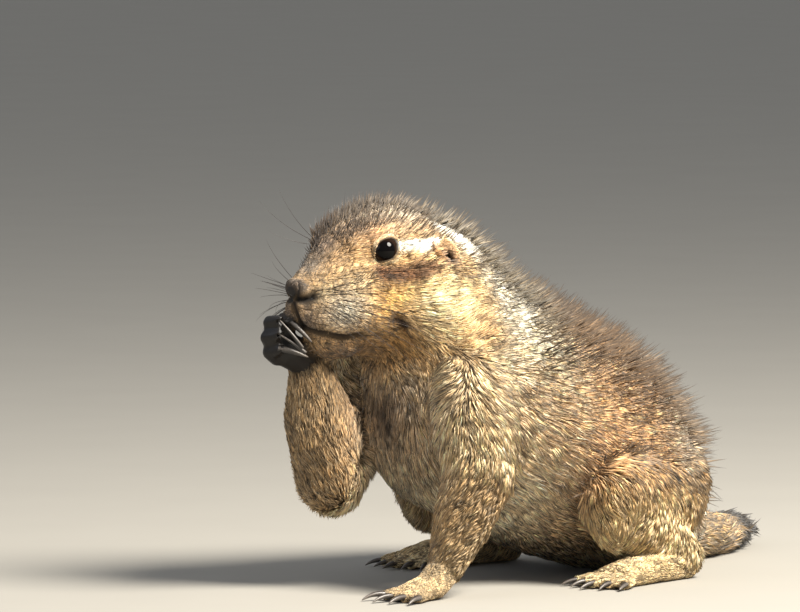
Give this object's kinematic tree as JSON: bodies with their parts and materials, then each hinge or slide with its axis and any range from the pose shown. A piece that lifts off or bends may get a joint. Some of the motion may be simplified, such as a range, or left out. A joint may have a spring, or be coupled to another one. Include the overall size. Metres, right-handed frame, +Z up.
{
  "type": "prairie dog",
  "caption": "Life-size still prairie dog, sitting low with one forepaw on the floor and the other raised to its mouth.",
  "frame": {"origin": "on the floor, under the middle of the animal's box", "axes": "-X is the way the nose points, -Y the animal's left side, +Z up; Z = 0 is the floor that the feet, rump and tail rest on"},
  "size_m": [0.263, 0.1258, 0.1363],
  "materials": {
    "grizzled_fur": "dense fur, matte",
    "buff_fur": "dense fur, matte",
    "black_fur": "brushy fur, matte",
    "bare_skin": "fine-grained bare skin",
    "nose_leather": "damp, fine-grained",
    "claw_horn": "smooth horn",
    "wet_eye": "wet and glossy"
  },
  "bodies": {
    "root": {"head": "grizzled_fur", "neck": "grizzled_fur", "chest": "grizzled_fur", "belly": "grizzled_fur", "rump": "grizzled_fur", "ear_left": "grizzled_fur", "ear_right": "grizzled_fur", "thigh_left": "grizzled_fur", "thigh_right": "grizzled_fur", "shank_left": "grizzled_fur", "shank_right": "grizzled_fur", "tail_base": "grizzled_fur", "upper_arm_left": "buff_fur", "upper_arm_right": "buff_fur", "forearm_left": "buff_fur", "forearm_right": "buff_fur", "tail_tip": "black_fur", "hand_left": "bare_skin", "hand_right": "bare_skin", "foot_left": "bare_skin", "foot_right": "bare_skin", "nose": "nose_leather", "eye_left": "wet_eye", "eye_right": "wet_eye", "claw_hand_left_1": "claw_horn", "claw_hand_left_2": "claw_horn", "claw_hand_left_3": "claw_horn", "claw_hand_left_4": "claw_horn", "claw_hand_right_1": "claw_horn", "claw_hand_right_2": "claw_horn", "claw_hand_right_3": "claw_horn", "claw_hand_right_4": "claw_horn", "claw_foot_left_1": "claw_horn", "claw_foot_left_2": "claw_horn", "claw_foot_left_3": "claw_horn", "claw_foot_left_4": "claw_horn", "claw_foot_left_5": "claw_horn", "claw_foot_right_1": "claw_horn", "claw_foot_right_2": "claw_horn", "claw_foot_right_3": "claw_horn", "claw_foot_right_4": "claw_horn", "claw_foot_right_5": "claw_horn"}
  },
  "joints": []
}
